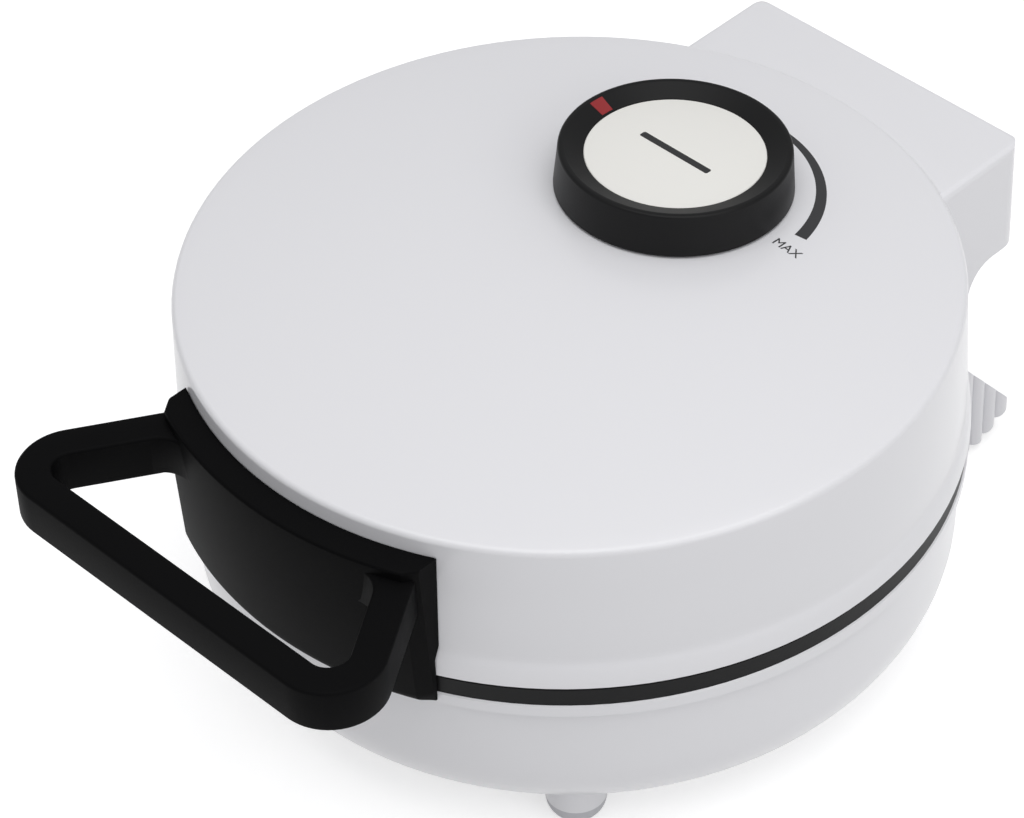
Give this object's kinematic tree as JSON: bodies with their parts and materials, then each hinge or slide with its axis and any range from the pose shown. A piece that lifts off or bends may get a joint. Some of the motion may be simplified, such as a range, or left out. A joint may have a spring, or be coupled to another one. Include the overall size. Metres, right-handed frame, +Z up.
{
  "type": "electric krumkake iron",
  "caption": "Round electric wafer iron: hinged domed lid with heat knob and loop handle over a bowl base with patterned baking plates.",
  "frame": {"origin": "middle of the object's bounding box in plan, on the table that the feet stand on", "axes": "+Z up, -Y towards the handle and the user, +Y towards the hinge, +X to the user's right"},
  "size_m": [0.215, 0.2764, 0.1312],
  "materials": {
    "shell_white": "smooth glossy moulding, cool white",
    "handle_black": "fine satin moulding",
    "ring_black": "satin heat-resistant plastic",
    "plate_coated": "die-cast aluminium with a dark non-stick coating",
    "element_steel": "heat-tinted tube",
    "sheet_steel": "bright rolled sheet",
    "screw_steel": "zinc plated",
    "pin_steel": "ground rod",
    "foot_grey": "satin pale grey",
    "ceramic_cream": "glazed steatite",
    "fuse_tan": "lacquered sleeve",
    "thermostat_body": "passivated housing",
    "probe_copper": "drawn copper",
    "knob_black": "satin moulding",
    "cap_white": "satin warm white",
    "mark_black": "satin inlay",
    "pointer_red": "red inlay"
  },
  "bodies": {
    "base": {"base_shell": "shell_white", "feet": "foot_grey", "rim_ring": "ring_black", "rim_screws": "screw_steel", "lower_plate": "plate_coated", "lower_heater": "element_steel", "lower_reflector": "sheet_steel", "lower_reflector_screws": "screw_steel", "thermal_fuse": "fuse_tan", "terminal_block": "ceramic_cream", "cord_gland": "foot_grey", "hinge_pin": "pin_steel"},
    "lid": {"lid_shell": "shell_white", "handle": "handle_black", "handle_screws": "screw_steel", "liner_ring": "ring_black", "liner_screws": "screw_steel", "upper_plate": "plate_coated", "upper_heater": "element_steel", "upper_reflector": "sheet_steel", "upper_reflector_screws": "screw_steel", "thermostat": "thermostat_body", "thermostat_nut": "screw_steel", "sensor_probe": "probe_copper"},
    "knob": {"spindle": "pin_steel", "knob_ring": "knob_black", "knob_cap": "cap_white", "knob_mark": "mark_black", "knob_pointer": "pointer_red"}
  },
  "joints": [
    {"name": "lid_hinge", "type": "hinge", "parent": "base", "child": "lid", "pos_m": [0, 0.12625, 0.064], "axis": [-1, 0, 0], "range_deg": [0, 100]},
    {"name": "knob_turn", "type": "hinge", "parent": "lid", "child": "knob", "pos_m": [0, 0.04985, 0.11711], "axis": [0, -0.0634, -0.998], "range_deg": [0, 180]}
  ]
}
